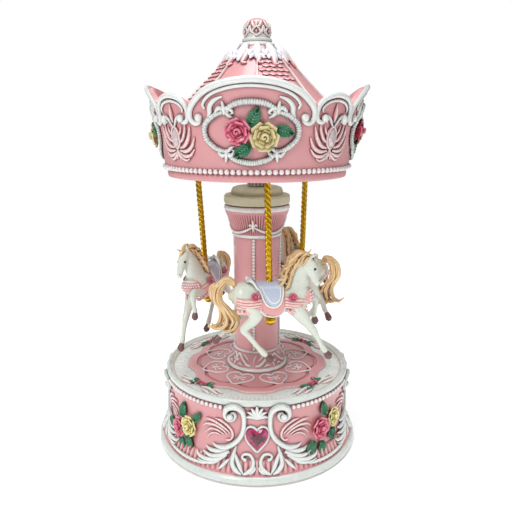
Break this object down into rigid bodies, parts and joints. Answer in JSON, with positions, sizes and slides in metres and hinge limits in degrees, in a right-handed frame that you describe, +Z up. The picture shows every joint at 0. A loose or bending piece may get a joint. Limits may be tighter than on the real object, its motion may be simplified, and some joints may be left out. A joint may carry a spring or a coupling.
{
  "type": "carousel music box",
  "caption": "Wind-up music box: round base with a musical movement, a fixed column, and a scalloped canopy that turns with galloping horses hung from cranks.",
  "frame": {"origin": "centre of the foot ring's underside, on the turning axis", "axes": "+Z up along the turning axis, -Y through the front heart stone of the base"},
  "size_m": [0.13, 0.13, 0.261],
  "materials": {
    "pink_resin": "satin painted resin, dry-brushed white on the relief",
    "horse_pearl": "hand-painted satin resin",
    "cream_plastic": "moulded, plain",
    "white_plastic": "moulded, plain",
    "black_plastic": "moulded, fine grain",
    "gold_brass": "polished and lacquered",
    "brass": "turned",
    "steel": "turned and ground",
    "zinc_casting": "die-cast, unpainted",
    "pink_crystal": "faceted cut stone of clear pink resin",
    "clear_crystal": "faceted cut stone of clear resin"
  },
  "bodies": {
    "base": {"base_shell": "pink_resin", "bottom_cover": "black_plastic", "cover_screw_1": "steel", "cover_screw_2": "steel", "cover_screw_3": "steel", "heart_gem_front": "pink_crystal", "heart_gem_right": "pink_crystal", "heart_gem_back": "pink_crystal", "heart_gem_left": "pink_crystal", "movement_plate": "zinc_casting", "plate_screw_1": "steel", "plate_screw_2": "steel", "plate_screw_3": "steel", "tuned_comb": "steel", "comb_screw_1": "steel", "comb_screw_2": "steel", "column": "pink_resin", "column_cap": "cream_plastic", "upper_bush": "brass", "lower_bush": "brass", "sun_gear": "white_plastic"},
    "key": {"winding_key": "brass"},
    "cylinder": {"pinned_cylinder": "brass"},
    "brake": {"air_brake": "white_plastic"},
    "canopy": {"spring_barrel": "brass", "drive_shaft": "steel", "canopy_crown": "pink_resin", "canopy_roof": "pink_resin", "canopy_hub": "white_plastic", "finial": "pink_resin", "canopy_floor": "white_plastic", "bracket_screw_1": "steel", "bracket_screw_2": "steel", "bracket_screw_3": "steel", "crank_bracket_1": "white_plastic", "crank_bracket_2": "white_plastic", "crank_bracket_3": "white_plastic", "canopy_gem_1": "clear_crystal", "canopy_gem_2": "clear_crystal", "canopy_gem_3": "clear_crystal", "canopy_gem_4": "clear_crystal"},
    "crank_1": {"crank_1": "white_plastic"},
    "rider_1": {"pole_1": "gold_brass", "horse_1": "horse_pearl", "pole_ball_1": "gold_brass"},
    "crank_2": {"crank_2": "white_plastic"},
    "rider_2": {"pole_2": "gold_brass", "horse_2": "horse_pearl", "pole_ball_2": "gold_brass"},
    "crank_3": {"crank_3": "white_plastic"},
    "rider_3": {"pole_3": "gold_brass", "horse_3": "horse_pearl", "pole_ball_3": "gold_brass"}
  },
  "joints": [
    {"name": "canopy_spin", "type": "hinge", "parent": "base", "child": "canopy", "pos_m": [0, 0, 0.19], "axis": [0, 0, 1], "continuous": true},
    {"name": "key_wind", "type": "hinge", "parent": "base", "child": "key", "pos_m": [0, 0, 0.008], "axis": [0, 0, 1], "continuous": true},
    {"name": "cylinder_spin", "type": "hinge", "parent": "base", "child": "cylinder", "pos_m": [0.027, 0, 0.0346], "axis": [1, 0, 0], "continuous": true},
    {"name": "brake_spin", "type": "hinge", "parent": "base", "child": "brake", "pos_m": [0.041, -0.0078, 0.03], "axis": [0, 0, 1], "continuous": true},
    {"name": "crank_1_turn", "type": "hinge", "parent": "canopy", "child": "crank_1", "pos_m": [0.00344, -0.02557, 0.1912], "axis": [0.1335, -0.9911, 0], "continuous": true},
    {"name": "rider_1_hang", "type": "hinge", "parent": "crank_1", "child": "rider_1", "pos_m": [0.00493, -0.0405, 0.19415], "axis": [0.1335, -0.9911, 0], "continuous": true},
    {"name": "crank_2_turn", "type": "hinge", "parent": "canopy", "child": "crank_2", "pos_m": [0.02042, 0.01577, 0.1912], "axis": [0.7915, 0.6111, 0], "continuous": true},
    {"name": "rider_2_hang", "type": "hinge", "parent": "crank_2", "child": "rider_2", "pos_m": [0.03229, 0.02493, 0.1942], "axis": [0.7915, 0.6111, 0], "continuous": true},
    {"name": "crank_3_turn", "type": "hinge", "parent": "canopy", "child": "crank_3", "pos_m": [-0.02387, 0.0098, 0.1912], "axis": [-0.925, 0.3799, 0], "continuous": true},
    {"name": "rider_3_hang", "type": "hinge", "parent": "crank_3", "child": "rider_3", "pos_m": [-0.03888, 0.01273, 0.1912], "axis": [-0.925, 0.3799, 0], "continuous": true}
  ],
  "couplings": [
    {"joint": "cylinder_spin", "follows": "canopy_spin", "ratio": 2},
    {"joint": "brake_spin", "follows": "canopy_spin", "ratio": 40},
    {"joint": "crank_1_turn", "follows": "canopy_spin", "ratio": -2},
    {"joint": "rider_1_hang", "follows": "canopy_spin", "ratio": 2},
    {"joint": "crank_2_turn", "follows": "canopy_spin", "ratio": -2},
    {"joint": "rider_2_hang", "follows": "canopy_spin", "ratio": 2},
    {"joint": "crank_3_turn", "follows": "canopy_spin", "ratio": -2},
    {"joint": "rider_3_hang", "follows": "canopy_spin", "ratio": 2}
  ]
}
